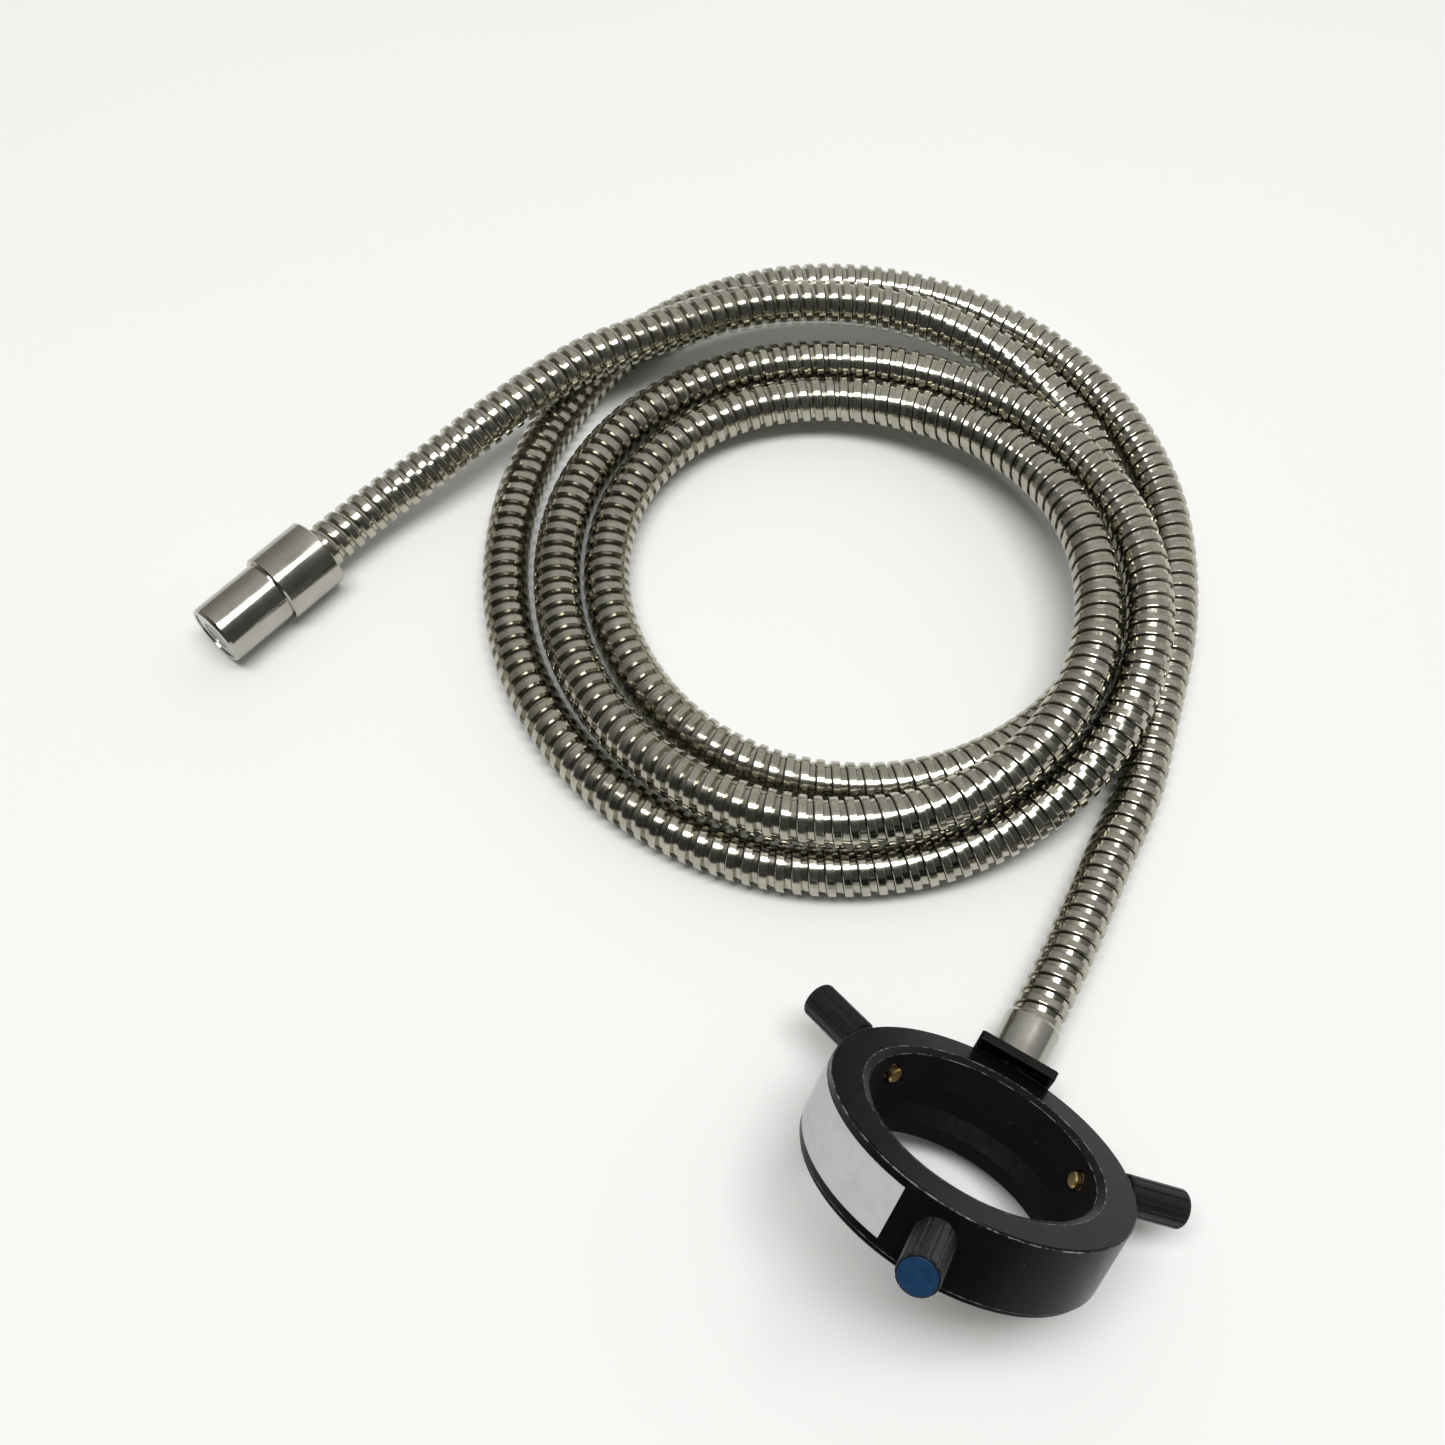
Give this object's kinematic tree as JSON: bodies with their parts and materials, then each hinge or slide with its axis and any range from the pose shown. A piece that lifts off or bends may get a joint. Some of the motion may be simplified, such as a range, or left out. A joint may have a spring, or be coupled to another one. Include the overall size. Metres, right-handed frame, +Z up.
{
  "type": "fibre-optic ring light guide",
  "caption": "Annular fibre-optic light head with thumbscrews, lying on its side, with a coiled metal hose and a plug-in ferrule.",
  "frame": {"origin": "on the table, under the middle of the light head's box, without the hose and ferrule", "axes": "+Z up from the table; +Y from the head towards the coil of hose; +X to the right of that"},
  "size_m": [0.2335, 0.2664, 0.0662],
  "materials": {
    "black_anodised": "satin black finish, worn at the edges",
    "glass_fibre": "polished ends of packed glass fibres",
    "label_white": "blank satin paper label",
    "screw_steel": "blackened steel",
    "nickel": "turned and polished nickel plate",
    "brass": "turned brass",
    "knob_black": "moulded satin black with fine flutes",
    "cap_blue": "moulded satin blue",
    "hose_steel": "bright interlocked stainless strip"
  },
  "bodies": {
    "head": {"ring_housing": "black_anodised", "bore_liner": "black_anodised", "fibre_ring": "glass_fibre", "bottom_cover_ring": "black_anodised", "blank_label": "label_white", "flange_screws": "screw_steel", "flange_plate": "black_anodised", "boss_block": "black_anodised", "hose_sleeve": "nickel", "fibre_bundle": "glass_fibre", "hose_ring_end": "hose_steel", "hose_coil": "hose_steel", "hose_source_end": "hose_steel", "ferrule_collar": "nickel", "ferrule_tube": "nickel", "ferrule_insert": "nickel", "fibre_end": "glass_fibre"},
    "stud_front": {"thumbscrew_stud_front": "brass"},
    "knob_front": {"thumbscrew_knob_front": "knob_black", "thumbscrew_cap_front": "cap_blue"},
    "stud_right": {"thumbscrew_stud_right": "brass"},
    "knob_right": {"thumbscrew_knob_right": "knob_black", "thumbscrew_cap_right": "cap_blue"},
    "stud_left": {"thumbscrew_stud_left": "brass"},
    "knob_left": {"thumbscrew_knob_left": "knob_black", "thumbscrew_cap_left": "cap_blue"}
  },
  "joints": [
    {"name": "travel_front", "type": "slide", "parent": "head", "child": "stud_front", "axis": [-0.33, -0.5973, 0.731], "range_m": [-0.0012, 0.006]},
    {"name": "turn_front", "type": "hinge", "parent": "stud_front", "child": "knob_front", "pos_m": [-0.01604, -0.02195, 0.05382], "axis": [-0.33, -0.5973, 0.731], "range_deg": [-617.2, 3085.8]},
    {"name": "travel_right", "type": "slide", "parent": "head", "child": "stud_right", "axis": [0.9073, -0.1466, -0.3942], "range_m": [-0.0012, 0.006]},
    {"name": "turn_right", "type": "hinge", "parent": "stud_right", "child": "knob_right", "pos_m": [0.02306, -0.0077, 0.01826], "axis": [0.9073, -0.1466, -0.3942], "range_deg": [-617.2, 3085.8]},
    {"name": "travel_left", "type": "slide", "parent": "head", "child": "stud_left", "axis": [-0.5773, 0.7439, -0.3367], "range_m": [-0.0012, 0.006]},
    {"name": "turn_left", "type": "hinge", "parent": "stud_left", "child": "knob_left", "pos_m": [-0.02385, 0.02044, 0.02008], "axis": [-0.5773, 0.7439, -0.3367], "range_deg": [-617.2, 3085.8]}
  ],
  "couplings": [
    {"joint": "turn_front", "follows": "travel_front", "rad_per_m": 8976},
    {"joint": "turn_right", "follows": "travel_right", "rad_per_m": 8976},
    {"joint": "turn_left", "follows": "travel_left", "rad_per_m": 8976}
  ]
}
